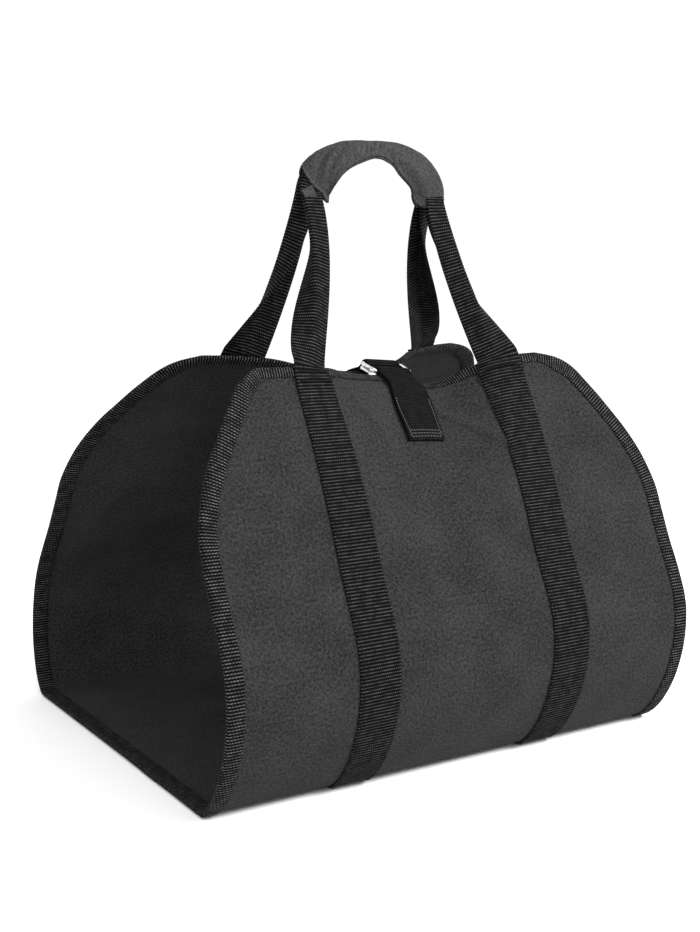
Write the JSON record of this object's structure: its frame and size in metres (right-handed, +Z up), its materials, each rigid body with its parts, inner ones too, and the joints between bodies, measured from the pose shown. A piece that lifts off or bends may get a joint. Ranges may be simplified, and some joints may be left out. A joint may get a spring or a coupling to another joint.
{
  "type": "log carrier",
  "caption": "Open-ended canvas log carrier: a bound sheet slung on two webbing loops that meet in one wrapped carrying grip, its top edges drawn together by a webbing and ring closure.",
  "frame": {"origin": "on the ground under the middle of the carrier's bounding box", "axes": "+X along the logs, to the right of the front panel; +Y from the front panel to the back panel; +Z up to the grip"},
  "size_m": [0.4602, 0.4226, 0.5266],
  "materials": {
    "canvas": "matt waxed cotton canvas, dark grey",
    "binding": "ribbed woven tape, black",
    "grip_canvas": "matt waxed cotton canvas, dark grey, edge stitched",
    "webbing": "ribbed woven webbing, black, edge stitched",
    "closure_webbing": "ribbed woven webbing, black",
    "ring_metal": "polished nickel-plated wire"
  },
  "bodies": {
    "root": {"canvas_panel": "canvas", "edge_binding": "binding", "handle_grip": "grip_canvas", "webbing_front": "webbing", "webbing_back": "webbing", "closure_strap_front": "closure_webbing", "closure_strap_back": "closure_webbing", "closure_ring_lower": "ring_metal", "closure_ring_upper": "ring_metal"}
  },
  "joints": []
}
